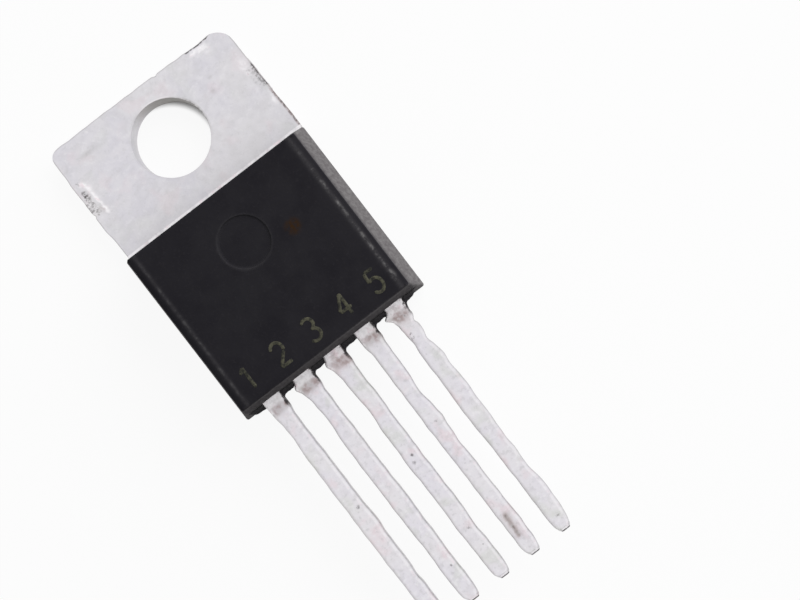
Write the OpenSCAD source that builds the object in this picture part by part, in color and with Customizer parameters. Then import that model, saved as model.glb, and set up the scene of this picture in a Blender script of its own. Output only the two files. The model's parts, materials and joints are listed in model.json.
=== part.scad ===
// Voltage regulator in a five-lead package with a metal tab.
// It lies on the tab's back: +Z points out of the body's front face, and the leads run towards -Y.
// The origin is the screw hole's centre on the tab's back.

/* [Tab] */
// How far the tab's edges stay inside the body's sides
tab_inset = 0.08; // [0:0.01:0.3]
// Thickness of the metal tab
tab_t = 1.3; // [1.2:0.02:1.4]
// From the screw hole's centre to the tab's top edge
tab_top = 2.78; // [2.6:0.02:3]
// Diameter of the screw hole
hole_d = 3.62; // [3.5:0.02:3.9]
// Corner radius on the side of the first lead
left_corner_r = 0.45; // [0.3:0.05:1]
// Corner radius on the side of the last lead
right_corner_r = 0.9; // [0.3:0.05:1]
// Length of the sheared tie-bar stub on each edge of the tab
stub_l = 1.7; // [1:0.1:2.4]
// Height of that stub, which stands on the tab's back
stub_h = 0.8; // [0.5:0.05:1.1]
// How far that stub stands out of the edge
stub_out = 0.05; // [0.03:0.01:0.08]

/* [Body] */
// Width of the moulded body at its foot
body_w = 10.1; // [9.9:0.02:10.54]
// Height of the body's front face above the tab's back
body_t = 4.5; // [4.32:0.02:4.6]
// From the screw hole's centre to the body's top edge on the tab
body_top = 3.22; // [3:0.02:3.5]
// From the screw hole's centre to the body's bottom edge
body_bottom = 12.27; // [12:0.01:12.6]
// Step from the tab's back up to the moulding's back
back_step = 0.05; // [0.02:0.01:0.1]
// Slope of the body's long sides, in degrees
side_draft = 10; // [5:0.5:12]
// Slope of the body's top end, in degrees
top_draft = 8; // [4:0.5:12]
// Slope of the body's bottom end, in degrees
bottom_draft = 6.6; // [3:0.1:10]
// Width of the worn bevel along the long edges of the front face
bevel_w = 0.3; // [0.1:0.02:0.5]
// Drop of that bevel at the body's side
bevel_drop = 0.06; // [0.03:0.01:0.12]
// Size of the small bevel along the front face's short edges
end_bevel = 0.07; // [0.03:0.01:0.15]
// Diameter of the round mould mark in the front face
mark_d = 2.3; // [1.5:0.1:3]
// Depth of the mould mark
mark_depth = 0.05; // [0.02:0.01:0.1]
// From the screw hole's centre to the mould mark's centre
mark_y = 6.1; // [5.6:0.1:9]

/* [Header inside the body] */
// Width of the moulding on each side of the metal plate inside the body
border_w = 0.85; // [0.5:0.05:1.1]
// From the screw hole's centre to the plate's lower end
header_end = 10.6; // [10.2:0.05:10.8]
// Width of the undercut that locks the moulding to the plate
undercut_w = 0.3; // [0.15:0.05:0.5]
// Height of the undercut above the tab's back
undercut_h = 0.45; // [0.3:0.05:0.7]
// Width of the locking groove across the plate's front
groove_w = 0.4; // [0.2:0.05:0.6]
// Depth of the locking groove
groove_depth = 0.2; // [0.1:0.05:0.4]
// From the body's top edge to the groove's near side
groove_inset = 0.8; // [0.6:0.1:1.2]

/* [Leads] */
// Distance between neighbouring leads
lead_pitch = 1.702; // [1.6:0.002:1.8]
// Width of a lead
lead_w = 0.8; // [0.64:0.02:0.96]
// Width of a lead's root, where the bar between the leads was cut away
root_w = 0.96; // [0.8:0.02:1.2]
// Length of the root outside the body
root_l = 0.65; // [0.4:0.05:1]
// Length over which the root narrows to the lead
root_taper = 0.35; // [0.1:0.05:0.6]
// Thickness of a lead
lead_t = 0.5; // [0.38:0.02:0.64]
// Height of a lead's middle above the tab's back
lead_h = 2.5; // [2.4:0.02:2.85]
// From the screw hole's centre to the lead tips
lead_tip = 24.75; // [24:0.05:26.5]
// Length of the taper at a lead's tip
tip_l = 0.75; // [0.4:0.05:1.2]
// Width of a lead's cut end
tip_w = 0.46; // [0.3:0.02:0.6]

/* [Bond posts] */
// Width of the widened lead ends inside the body
post_w = 1.3; // [1.1:0.05:1.45]
// Length of the widened lead ends
post_l = 1.4; // [1:0.05:1.6]
// From the body's bottom edge to the widened end
post_inset = 0.6; // [0.5:0.05:0.8]
// Length of the centre lead's foot, which lies on the plate
foot_l = 1; // [0.8:0.05:1.1]
// Length of the slope that lifts the centre lead from the plate
neck_run = 0.8; // [0.6:0.05:0.85]
// Diameter of the plate's stake that holds the centre lead's foot
stake_d = 0.5; // [0.3:0.05:0.7]

/* [Chip] */
// Width of the silicon chip
die_w = 2.4; // [2.2:0.1:3]
// Length of the silicon chip
die_l = 2; // [1.6:0.1:2.6]
// Thickness of the silicon chip
die_t = 0.3; // [0.2:0.02:0.4]
// From the screw hole's centre to the chip's middle
die_y = 7.2; // [6.5:0.1:7.4]
// Thickness of the solder under the chip
solder_t = 0.05; // [0.03:0.01:0.1]
// Width of the solder's rim around the chip
solder_rim = 0.12; // [0.05:0.01:0.2]

/* [Bond wires] */
// Diameter of a bond wire
wire_d = 0.1; // [0.06:0.01:0.12]
// Distance between the wires' pads on the chip
pad_pitch = 0.45; // [0.35:0.05:0.5]
// From the chip's lower edge to the pads
pad_inset = 0.3; // [0.25:0.05:0.5]
// From a post's inner end to the wire's foot on it
foot_inset = 0.4; // [0.3:0.05:0.6]
// From the chip's lower edge to the ground wire's foot on the plate
ground_foot = 0.8; // [0.7:0.05:1]
// Length of wire that is pressed into its pads
wire_tail = 0.28; // [0.25:0.01:0.29]

/* [Hidden] */
// Height of a wire's loop as a share of its span
loop_share = 0.18;
// How far every cut runs past what it cuts
overrun = 0.5;
// Segments of a full circle
$fn = 64;

tab_w = body_w - 2 * tab_inset;
header_w = body_w - 2 * border_w;
lead_foot = lead_h - lead_t / 2;
lead_top = lead_h + lead_t / 2;
foot_top = header_end - foot_l;
neck_rise = lead_foot - tab_t;
neck_slope = atan2(neck_rise, neck_run);
neck_knee = lead_t * tan(neck_slope / 2);
post_end = body_bottom - post_inset;
post_top = post_end - post_l;
root_end = body_bottom + root_l;
slope_h = body_t - tab_t;
shoulder_x = body_w / 2 - (slope_h - bevel_drop) * tan(side_draft);
front_top = body_top + slope_h * tan(top_draft);
front_bottom = body_bottom - slope_h * tan(bottom_draft);
die_top = tab_t + solder_t + die_t;
die_foot_y = die_y + die_l / 2;
pad_y = die_foot_y - pad_inset;

// Colours of the moulding, the tin plate, the chip, its solder and the wires
mould_colour = "#232125";
tin_colour = "#d6d3d9";
chip_colour = "#5b616e";
solder_colour = "#96979c";
wire_colour = "#d9d9dc";

// Places of the leads, counted in pitches from the centre lead
adjust_place = -2;
inhibit_place = -1;
input_place = 1;
output_place = 2;

// Across the body: straight foot, sloped side and worn front bevel, mirrored to the other side
function half_section() = [
    [body_w / 2, back_step],
    [body_w / 2, tab_t],
    [shoulder_x, body_t - bevel_drop],
    [shoulder_x - bevel_w, body_t],
];
function mirrored(points) = [for (i = [len(points) - 1 : -1 : 0]) [-points[i].x, points[i].y]];

// Along the body: sloped top end, front face with small bevels, sloped bottom end and straight foot
function body_profile() = [
    [-body_top, back_step],
    [-body_top, tab_t],
    [-front_top, body_t - end_bevel],
    [-front_top - end_bevel, body_t],
    [-front_bottom + end_bevel, body_t],
    [-front_bottom, body_t - end_bevel],
    [-body_bottom, tab_t],
    [-body_bottom, back_step],
];

// The plate seen from the front: the wide tab and its narrower end inside the body
function plate_outline() = [
    [-tab_w / 2, tab_top],
    [-tab_w / 2, -body_top],
    [-header_w / 2, -body_top],
    [-header_w / 2, -header_end],
    [header_w / 2, -header_end],
    [header_w / 2, -body_top],
    [tab_w / 2, -body_top],
    [tab_w / 2, tab_top],
];

// A lead seen from the front: wide post from its inner end, root, straight blade and tapered tip
function half_lead(inner_end) = [
    [post_w / 2, -inner_end],
    [post_w / 2, -post_end],
    [root_w / 2, -post_end],
    [root_w / 2, -root_end],
    [lead_w / 2, -root_end - root_taper],
    [lead_w / 2, tip_l - lead_tip],
    [tip_w / 2, -lead_tip],
];
function lead_outline(inner_end) = concat(half_lead(inner_end), mirrored(half_lead(inner_end)));

// The centre lead seen from the side: its foot lies on the plate and its neck lifts it to the leads' height
function neck_profile() = [
    [-foot_top, tab_t],
    [-header_end, tab_t],
    [-header_end - neck_run, lead_foot],
    [-lead_tip, lead_foot],
    [-lead_tip, lead_top],
    [neck_knee - header_end - neck_run, lead_top],
    [neck_knee - header_end, tab_t + lead_t],
    [-foot_top, tab_t + lead_t],
];

module along_x(width) {
    rotate([90, 0, 90])
        linear_extrude(width, center = true)
            children();
}

module body_form() {
    intersection() {
        translate([0, overrun - body_top, 0])
            rotate([90, 0, 0])
                linear_extrude(body_bottom - body_top + 2 * overrun)
                    polygon(concat(half_section(), mirrored(half_section())));
        along_x(body_w + 2 * overrun)
            polygon(body_profile());
    }
}

module mould_mark() {
    translate([0, -mark_y, body_t - mark_depth])
        cylinder(d = mark_d, h = mark_depth + overrun);
}

// What has to be cut away to round one corner of the tab; side is -1 or 1
module corner_waste(side, radius) {
    translate([side * (tab_w / 2 - radius), tab_top - radius, -overrun])
        difference() {
            translate([side > 0 ? 0 : -radius - overrun, 0, 0])
                cube([radius + overrun, radius + overrun, tab_t + 2 * overrun]);
            cylinder(r = radius, h = tab_t + 2 * overrun);
        }
}

module undercut() {
    inner_w = header_w - 2 * undercut_w;
    difference() {
        translate([-header_w / 2 - overrun, -header_end - overrun, -overrun])
            cube([header_w + 2 * overrun, header_end + overrun - body_top, undercut_h + overrun]);
        translate([-inner_w / 2, undercut_w - header_end, -2 * overrun])
            cube([inner_w, header_end, undercut_h + 3 * overrun]);
    }
}

module locking_groove() {
    translate([-header_w / 2 - overrun, -body_top - groove_inset - groove_w, tab_t - groove_depth])
        cube([header_w + 2 * overrun, groove_w, groove_depth + overrun]);
}

module tie_bar_stubs() {
    translate([-tab_w / 2 - stub_out, -stub_l / 2, 0])
        cube([tab_w + 2 * stub_out, stub_l, stub_h]);
}

// The stake stands on the plate and fills the hole in the centre lead's foot
module stake() {
    translate([0, -foot_top - foot_l / 2, tab_t])
        cylinder(d = stake_d, h = lead_t);
}

module tab_form() {
    difference() {
        union() {
            linear_extrude(tab_t)
                polygon(plate_outline());
            tie_bar_stubs();
            stake();
        }
        translate([0, 0, -overrun])
            cylinder(d = hole_d, h = tab_t + 2 * overrun);
        corner_waste(-1, left_corner_r);
        corner_waste(1, right_corner_r);
        undercut();
        locking_groove();
    }
}

module centre_lead() {
    difference() {
        intersection() {
            along_x(post_w)
                polygon(neck_profile());
            linear_extrude(body_t)
                polygon(lead_outline(foot_top));
        }
        stake();
    }
}

module signal_lead(place) {
    translate([place * lead_pitch, 0, lead_foot])
        linear_extrude(lead_t)
            polygon(lead_outline(post_top));
}

module die_form() {
    translate([-die_w / 2, -die_foot_y, tab_t + solder_t])
        cube([die_w, die_l, die_t]);
}

module solder_form() {
    translate([-die_w / 2 - solder_rim, -die_foot_y - solder_rim, tab_t])
        cube([die_w + 2 * solder_rim, die_l + 2 * solder_rim, solder_t]);
}

// A round arc of wire in the upright plane through two points, with a tail past each of them
module wire_arc(from, to) {
    run = norm([to.x - from.x, to.y - from.y]);
    rise = to.z - from.z;
    span = norm([run, rise]);
    arc_r = span * (1 / 4 + pow(loop_share, 2)) / (2 * loop_share);
    half_turn = asin(span / 2 / arc_r);
    tail_turn = wire_tail / arc_r * 180 / PI;
    translate(from)
        rotate([0, 0, atan2(to.y - from.y, to.x - from.x)])
            rotate([90, 0, 0])
                translate([run / 2, rise / 2, 0])
                    rotate([0, 0, atan2(rise, run)])
                        translate([0, loop_share * span - arc_r, 0])
                            rotate([0, 0, 90 - half_turn - tail_turn])
                                rotate_extrude(angle = 2 * (half_turn + tail_turn))
                                    translate([arc_r, 0])
                                        circle(d = wire_d);
}

module signal_wire(place) {
    difference() {
        wire_arc([place * pad_pitch, -pad_y, die_top], [place * lead_pitch, -post_top - foot_inset, lead_top]);
        die_form();
        signal_lead(place);
    }
}

module down_wire() {
    difference() {
        wire_arc([0, -pad_y, die_top], [0, -die_foot_y - ground_foot, tab_t]);
        die_form();
        tab_form();
    }
}

module moulded_body() {
    color(mould_colour)
        difference() {
            body_form();
            mould_mark();
            tab_form();
            centre_lead();
            for (place = [adjust_place, inhibit_place, input_place, output_place]) {
                signal_lead(place);
                signal_wire(place);
            }
            down_wire();
            die_form();
            solder_form();
        }
}

module heatsink_tab() {
    color(tin_colour)
        tab_form();
}

module adjust_lead() {
    color(tin_colour)
        signal_lead(adjust_place);
}

module inhibit_lead() {
    color(tin_colour)
        signal_lead(inhibit_place);
}

module ground_lead() {
    color(tin_colour)
        centre_lead();
}

module input_lead() {
    color(tin_colour)
        signal_lead(input_place);
}

module output_lead() {
    color(tin_colour)
        signal_lead(output_place);
}

module silicon_die() {
    color(chip_colour)
        die_form();
}

module die_solder() {
    color(solder_colour)
        solder_form();
}

module adjust_wire() {
    color(wire_colour)
        signal_wire(adjust_place);
}

module inhibit_wire() {
    color(wire_colour)
        signal_wire(inhibit_place);
}

module ground_wire() {
    color(wire_colour)
        down_wire();
}

module input_wire() {
    color(wire_colour)
        signal_wire(input_place);
}

module output_wire() {
    color(wire_colour)
        signal_wire(output_place);
}

moulded_body();
heatsink_tab();
adjust_lead();
inhibit_lead();
ground_lead();
input_lead();
output_lead();
silicon_die();
die_solder();
adjust_wire();
inhibit_wire();
ground_wire();
input_wire();
output_wire();
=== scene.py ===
"""Looks of a five-lead voltage regulator with a metal tab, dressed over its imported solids.

The object lies on the tab's back: +Z points out of the body's front face, the leads run towards -Y,
and the origin is the screw hole's centre. Sizes are in millimetres until a mesh is made.
"""
import json

import bpy
import numpy as np
from mathutils import Matrix, Vector


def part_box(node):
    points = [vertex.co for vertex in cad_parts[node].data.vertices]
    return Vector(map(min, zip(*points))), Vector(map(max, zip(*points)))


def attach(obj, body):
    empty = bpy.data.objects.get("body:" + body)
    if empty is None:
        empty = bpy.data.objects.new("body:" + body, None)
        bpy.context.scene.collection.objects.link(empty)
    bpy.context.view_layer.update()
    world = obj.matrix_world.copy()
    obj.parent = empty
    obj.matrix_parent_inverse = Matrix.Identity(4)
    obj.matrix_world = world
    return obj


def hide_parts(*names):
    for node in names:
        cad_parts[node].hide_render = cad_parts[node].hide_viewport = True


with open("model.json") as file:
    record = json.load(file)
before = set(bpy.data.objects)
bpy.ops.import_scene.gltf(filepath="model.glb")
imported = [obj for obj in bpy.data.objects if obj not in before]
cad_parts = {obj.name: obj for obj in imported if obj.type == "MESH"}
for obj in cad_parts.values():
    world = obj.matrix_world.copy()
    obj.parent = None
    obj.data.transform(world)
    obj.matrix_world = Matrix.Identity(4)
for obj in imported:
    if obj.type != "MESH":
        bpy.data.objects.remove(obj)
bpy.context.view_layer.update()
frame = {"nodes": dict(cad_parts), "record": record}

# Heatsink tab: a plate punched from tin-plated copper strip, with a round screw hole.
# Its long edges keep the torn scars of the tie bars that held it in the strip, and its top edge is
# knocked. The lower end is moulded into the body, and the back stays bare to lie on a heatsink.
MM = 0.001


def corners_mm(node):
    """Lowest and highest corner of a solid, in millimetres."""
    return tuple(np.array(corner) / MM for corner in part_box(node))


screw_hole = next(mount for mount in frame["record"]["mounts"] if mount["name"] == "screw_hole")
hole_r = screw_hole["dims"]["r_mm"]
tab_t = screw_hole["dims"]["length_mm"]
tab_low, tab_high = corners_mm("heatsink_tab")
body_low, body_high = corners_mm("moulded_body")
stub_out = 0.05
stub_h = 0.8
stub_l = 1.7
stub_soft = 0.04
tab_x = tab_high[0] - stub_out
tab_top = tab_high[1]
left_corner_r = 0.45
right_corner_r = 0.9
body_top = body_high[1]
shoulder_drop = 0.3
shoulder_y = body_top - shoulder_drop
shoulder_r = 0.15
plate_border = 0.85
plate_x = body_high[0] - plate_border
plate_end = tab_low[1]
plate_corner_r = 0.4
undercut_w = 0.3
undercut_h = 0.45
undercut_lip = 0.01
undercut_run = (0.1, 0.6)
edge_roll = 0.08
hole_roll = 0.012
back_roll = 0.03
front_rise = (tab_t - 3 * edge_roll, tab_t - edge_roll)

# Distances between the plate's points where it shows and where the body hides it, and rows of its rings
shown_step = 0.045
hidden_step = 0.12
hidden_run = 0.5
roll_rows = 7
wall_rows = 12
edge_rows = 14
front_rows = 44
front_crowding = 1.6
back_rows = 14


def ease(low, high, value):
    """Smooth step: 0 at low and 1 at high, level at both ends."""
    t = np.clip((value - low) / (high - low), 0, 1)
    return t * t * (3 - 2 * t)


def span(run, value):
    """Smooth run: it rises from 0 to 1 between the run's first two places and falls between its last two."""
    return ease(run[0], run[1], value) * ease(run[3], run[2], value)


def bell(value, middle, reach):
    """Bell curve of 1 at the middle, which falls off over reach."""
    return np.exp(-((value - middle) / reach) ** 2)


def spot(x, y, place, reach):
    """Bell curves along both axes multiplied: 1 at a place, with a reach for each axis."""
    return bell(x, place[0], reach[0]) * bell(y, place[1], reach[1])


def torn(x, y, wavelength, seed, waves=14, shortest=0.6, longest=1.8, gain=2.5):
    """Rough field of about -1 to 1: the mean of plane waves in seeded directions, lengths and phases."""
    rng = np.random.default_rng(seed)
    angle, phase = rng.uniform(0, 2 * np.pi, (2, waves))
    number = 2 * np.pi / (wavelength * rng.uniform(shortest, longest, waves))
    along = x[..., None] * np.cos(angle) + y[..., None] * np.sin(angle)
    return gain * np.sin(along * number + phase).mean(-1)


def rounded_polygon(corners, radii, steps=24):
    """Outline with an arc in each corner: the arc's centre lies its radius away from both edges."""
    corners = np.array(corners, float)
    radii = np.array(radii)[:, None]
    into = corners - np.roll(corners, 1, 0)
    into /= np.linalg.norm(into, axis=1, keepdims=True)
    out = np.roll(into, -1, 0)
    cross = into[:, 0] * out[:, 1] - into[:, 1] * out[:, 0]
    turn = np.arctan2(cross, (into * out).sum(1))[:, None]
    inward = np.stack([-into[:, 1], into[:, 0]], 1) * np.sign(turn)
    centre = corners - into * radii * np.tan(np.abs(turn) / 2) + inward * radii
    angle = np.arctan2(-inward[:, 1:], -inward[:, :1]) + turn * np.linspace(0, 1, steps)
    arcs = centre[:, None] + radii[:, None] * np.stack([np.cos(angle), np.sin(angle)], -1)
    return arcs.reshape(-1, 2)


def walk(outline, step_at, fine=80):
    """Points along a closed outline: the distance to the next point is what step_at says there."""
    leap = np.roll(outline, -1, 0) - outline
    share = np.linspace(0, 1, fine, endpoint=False)[:, None]
    dense = (outline[:, None] + leap[:, None] * share).reshape(-1, 2)
    length = np.linalg.norm(np.roll(dense, -1, 0) - dense, axis=1)
    count = np.concatenate([[0], np.cumsum(length / step_at(dense))])
    wanted = np.linspace(0, count[-1], int(count[-1]), endpoint=False)
    closed = np.vstack([dense, dense[:1]])
    return np.stack([np.interp(wanted, count, closed[:, axis]) for axis in (0, 1)], 1)


def skin(name, *grids, closed=False):
    """Mesh of grids of rings in millimetres: quads between neighbouring rings, faces turned outwards.
    A closed grid joins its last ring to its first; any other gets a fan to the middle of each end ring."""
    points, faces = [], []
    for rows in grids:
        first = sum(len(block) for block in points)
        count, around = rows.shape[:2]
        index = first + np.arange(count * around).reshape(count, around)
        block = rows.reshape(-1, 3)
        ring = np.vstack([index, index[:1]]) if closed else index
        after = np.roll(ring, -1, 1)
        quads = np.stack([ring[:-1], after[:-1], after[1:], ring[1:]], -1).reshape(-1, 4)
        fans = np.zeros((0, 3), int)
        if not closed:
            block = np.vstack([block, rows[0].mean(0), rows[-1].mean(0)])
            pole = np.full(around, first + count * around)
            start_fan = np.stack([after[0], index[0], pole], 1)
            end_fan = np.stack([index[-1], after[-1], pole + 1], 1)
            fans = np.vstack([start_fan, end_fan])
        corner = block[np.vstack([quads[:, :3], quads[:, [0, 2, 3]], fans]) - first]
        volume = np.einsum("ij,ij->i", corner[:, 0], np.cross(corner[:, 1], corner[:, 2])).sum()
        turn = 1 if volume > 0 else -1
        points.append(block)
        faces += quads[:, ::turn].tolist() + fans[:, ::turn].tolist()
    mesh = bpy.data.meshes.new(name)
    mesh.from_pydata(np.vstack(points) * MM, [], faces)
    mesh.polygons.foreach_set("use_smooth", np.ones(len(faces), bool))
    piece = bpy.data.objects.new(name, mesh)
    bpy.context.scene.collection.objects.link(piece)
    return piece


def mark(piece, name, values):
    """Stores one number per point for the finish to read; end middles get the number of the last point."""
    store = piece.data.attributes.new(name, "FLOAT", "POINT")
    values = np.ravel(values)
    spare = len(piece.data.vertices) - len(values)
    store.data.foreach_set("value", np.concatenate([values, np.full(spare, values[-1])]).astype(np.float32))


def plate_rings():
    """Rings of the plate, all at the same angles round the hole: up the hole's wall, out over the front,
    down the outer edge and back under to the hole. The outer edge's rings are the outline moved inwards."""
    outline = walk(rounded_polygon(
        [(tab_x, tab_top), (-tab_x, tab_top), (-tab_x, shoulder_y), (-plate_x, shoulder_y),
         (-plate_x, plate_end), (plate_x, plate_end), (plate_x, shoulder_y), (tab_x, shoulder_y)],
        [right_corner_r, left_corner_r, shoulder_r, shoulder_r,
         plate_corner_r, plate_corner_r, shoulder_r, shoulder_r],
    ), lambda at: shown_step + (hidden_step - shown_step) * ease(0, hidden_run, shoulder_y - at[:, 1]))
    along = np.roll(outline, -1, 0) - np.roll(outline, 1, 0)
    outward = np.stack([along[:, 1], -along[:, 0]], 1) / np.linalg.norm(along, axis=1, keepdims=True)
    ray = outline / np.linalg.norm(outline, axis=1, keepdims=True)
    undercut = undercut_w * ease(*undercut_run, shoulder_y - outline[:, 1])
    quarter = np.linspace(0, np.pi / 2, roll_rows)

    def hole_ring(out, z):
        """Circle of the hole's radius plus out."""
        return np.column_stack([ray * (hole_r + out), np.full(len(ray), z)])

    def edge_ring(inset, z):
        """Outline moved inwards by the inset, and by the undercut too where it lies below its height."""
        moved = outline - outward * (inset + undercut * (z < undercut_h))[:, None]
        return np.column_stack([moved, np.full(len(ray), z)])

    wall = [hole_ring(back_roll * (1 - np.sin(a)), back_roll * (1 - np.cos(a))) for a in quarter]
    wall += [hole_ring(0, z) for z in np.linspace(back_roll, tab_t - hole_roll, wall_rows)[1:-1]]
    wall += [hole_ring(hole_roll * (1 - np.cos(a)), tab_t - hole_roll * (1 - np.sin(a))) for a in quarter]
    edge = [edge_ring(edge_roll * (1 - np.sin(a)), tab_t - edge_roll * (1 - np.cos(a))) for a in quarter]
    heights = np.linspace(tab_t - edge_roll, back_roll, edge_rows)[1:-1]
    step_edges = undercut_h + np.array([undercut_lip, -undercut_lip])
    edge += [edge_ring(0, z) for z in np.sort(np.concatenate([heights, step_edges]))[::-1]]
    edge += [edge_ring(back_roll * (1 - np.cos(a)), back_roll * (1 - np.sin(a))) for a in quarter]
    shares = 1 - (1 - np.linspace(0, 1, front_rows)[1:-1]) ** front_crowding
    front = [wall[-1] + (edge[0] - wall[-1]) * share for share in shares]
    back = [edge[-1] + (wall[0] - edge[-1]) * share for share in np.linspace(0, 1, back_rows)[1:-1]]
    return np.array(wall + front + edge + back)


# Runs of the scars and knocks along the plate's edges, as places: start, full, still full and end.
# The single nick, the foot beside the body and the hole's lip have a place or a width alone; the foot is
# painted shade on the plate beside the body
left_scar = (-0.82, -0.66, 0.7, 1.0)
left_lip_run = (-1.0, -0.8, 0.75, 0.98)
right_scar = (-0.95, -0.6, 0.4, 0.6)
nick_scar = (2.7, 2.9, 3.95, 4.25)
nick_dent = (2.65, 2.95, 3.95, 4.25)
left_torn_rise = (0.5, -0.1)
right_line_rise = (0.6, 0.45)
right_line_deepens = (-0.7, -1.2)
foot_run = 1.8
small_nick_x = 1.12
small_nick_w = 0.1
hole_lip = 0.02

# The left scar's pushed-up lip leans along the edge, and the torn metal lies between it and the edge
lip_in = 0.6
lip_y = 0.67
lip_lean = 0.055
lip_back = 0.02
lip_least_w = 0.075
lip_extra_w = 0.045
lip_widens = (-0.2, 0.6)
pit_full = 0.05
torn_back = (0.05, 0.3)

# How far the scars' outlines stray across and along, and over which wavelengths
stray_out = (0.05, 0.1)
stray_waves = (0.45, 0.5)

# How far from its edge each mark is gone, and how far from it the mark is still full
edge_fades = {
    "stub": (0.1, 0.02), "rolled edge": (0.08, 0.02),
    "right torn": (0.55, 0.4), "right torn rim": (0.25, 0.1),
    "right hairline": (0.06, 0.02), "right line": (0.15, 0.07),
    "nick": (0.36, 0.1), "nick line": (0.13, 0.06), "small nick": (0.22, 0),
    "hole wall": (0.04, 0), "hole shade": (0.03, 0), "hole rim": (0.12, 0.05),
    "hole glint": (0.1, 0.04), "hole burr": (0.08, 0.03),
}
right_rim_share = 0.35
hairline_share = 0.35
right_line_share = 0.6

# Sides of the hole that marks lie on: the angle of the middle, and the cosines where one begins and is full.
# The hole shade is painted shade on the wall's side that faces away from the lamp, and the hole glint a
# painted highlight on the rim
hole_sides = {"hole shade": (0.85, 0.1, 1.05), "hole glint": (1.1, 0.6, 0.95), "hole burr": (0.2, 0.7, 0.95)}

# Soft spots of the marks: torn or plain outline, middle, reach along both axes, and strength
tab_spots = {
    "left pale": [("torn", (-4.5, 0.75), (0.16, 0.16), 1)],
    "left blot": [("torn", (-4.68, 0.37), (0.16, 0.2), 1), ("plain", (-4.66, 0.93), (0.08, 0.13), 1)],
    "left end": [("torn", (-4.4, -0.7), (0.16, 0.17), 1)],
    "right pale": [("torn", (4.62, 0.66), (0.2, 0.18), 1), ("plain", (4.73, -1.4), (0.09, 0.25), 1),
                   ("plain", (4.57, 0.18), (0.1, 0.13), 0.7), ("plain", (4.45, -0.68), (0.12, 0.1), 0.7)],
    "nick patch": [("torn", (3.6, 2.4), (0.3, 0.25), 1), ("plain", (3.15, 2.54), (0.3, 0.13), 1)],
    "smudge": [("plain", (-3.45, 1.76), (0.4, 0.12), 1), ("plain", (3.08, 1.11), (0.12, 0.09), 1),
               ("plain", (2.8, 0.52), (0.12, 0.12), 1)],
    "bright dot": [("plain", (-2.87, 2.57), (0.07, 0.07), 1)],
}


def tab_marks(x, y, z):
    """Where the plate's marks lie, each as a share of 0 to 1: smooth steps and bell curves about places on
    it. The scars' places are first moved about by a rough field, so that their outlines look torn."""
    stray_x = x + stray_out[0] * torn(x, y, stray_waves[0], seed=5)
    stray_y = y + stray_out[1] * torn(x, y, stray_waves[1], seed=6)
    in_left, in_right, in_top = tab_x + stray_x, tab_x - stray_x, tab_top - stray_y
    in_side = tab_x - np.abs(x)
    hole_gap = np.hypot(x, y) - hole_r
    hole_angle = np.arctan2(y, x)
    off_wall = ease(0, hole_lip, hole_gap)
    lip = lip_in + lip_lean * (lip_y - y)
    lip_w = lip_least_w + lip_extra_w * ease(*lip_widens, y)
    left_run = span(left_scar, stray_y)
    right_run = span(right_scar, stray_y)
    nick_run = span(nick_scar, stray_x)
    outlines = {"torn": (stray_x, stray_y), "plain": (x, y)}

    def near(name, gap):
        """Smooth step that is 1 beside a mark's edge and falls to 0 away from it."""
        return ease(*edge_fades[name], gap)

    def hole_side(name):
        """Mark beside the hole's edge, times a smooth step of the cosine of the angle from its middle."""
        middle, begins, full = hole_sides[name]
        return near(name, hole_gap) * ease(begins, full, np.cos(hole_angle - middle))

    torn_side = (1 - right_rim_share) * near("right torn", in_right)
    torn_side += right_rim_share * near("right torn rim", in_right)
    deep_line = right_line_share * near("right line", in_side) * ease(*right_line_deepens, y)
    side_line = np.maximum(hairline_share * near("right hairline", in_side), deep_line)
    marks = {
        name: sum(strength * spot(*outlines[kind], place, reach) for kind, place, reach, strength in spots)
        for name, spots in tab_spots.items()
    }
    marks.update({
        "stub": ease(stub_l / 2 + 2 * stub_soft, stub_l / 2 - stub_soft, np.abs(y))
                * ease(stub_h + 3 * stub_soft, stub_h, z) * near("stub", in_side),
        "left pit": left_run * ease(lip, pit_full, in_left),
        "left lip": span(left_lip_run, stray_y) * bell(in_left, lip - lip_back, lip_w),
        "left torn": left_run * ease(*left_torn_rise, stray_y)
                     * ease(lip - torn_back[0], lip - torn_back[1], in_left),
        "right torn": right_run * torn_side,
        "right line": ease(*right_line_rise, y) * (x > 0) * side_line,
        "nick": nick_run * near("nick", in_top),
        "nick line": nick_run * near("nick line", tab_top - y),
        "small nick": bell(x, small_nick_x, small_nick_w) * near("small nick", in_top),
        "hole wall": near("hole wall", hole_gap),
        "hole rim": near("hole rim", hole_gap) * off_wall,
        # Painted shade: the hole's wall darkened on the side that faces away from the lamp
        "hole shade": hole_side("hole shade"),
        # Painted highlight: a bright line on the hole's rim
        "hole glint": hole_side("hole glint") * off_wall,
        "hole burr": hole_side("hole burr"),
        # Painted shade on the plate beside the body
        "foot": ease(body_top + foot_run, body_top, y),
        # The rolled edges, which the dull trace darkens as painted shade
        "rolled edge": near("rolled edge", np.minimum(in_side, tab_top - y)),
    })
    return marks


def summed(marks, shares):
    """Marks added up, each at its share."""
    return sum(share * marks[name] for name, share in shares.items())


def strongest(marks, shares):
    """The strongest mark at each point, each at its share."""
    return np.maximum.reduce([share * marks[name] for name, share in shares.items()])


# How far the long edges drift to the right, and between which places along them
edge_drifts = {
    "left": [(0.035, 0.9, 1.7), (0.09, -1.5, -2.3)],
    "right": [(0.07, -0.2, -2.4), (-0.04, 0, 1.6)],
}
notch_y = -0.72
notch_w = 0.08
notch_in = 0.06
top_sag = 0.07
top_sag_run = (-1, 3.5)
nick_in = 0.03
small_nick_in = 0.05
top_waver = 0.015
top_wave = 0.8
side_waver = 0.012
side_wave = 0.9
side_share = 0.62
side_lift = 0.1
stub_rough_share = 0.25
stub_wave = 0.25

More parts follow.
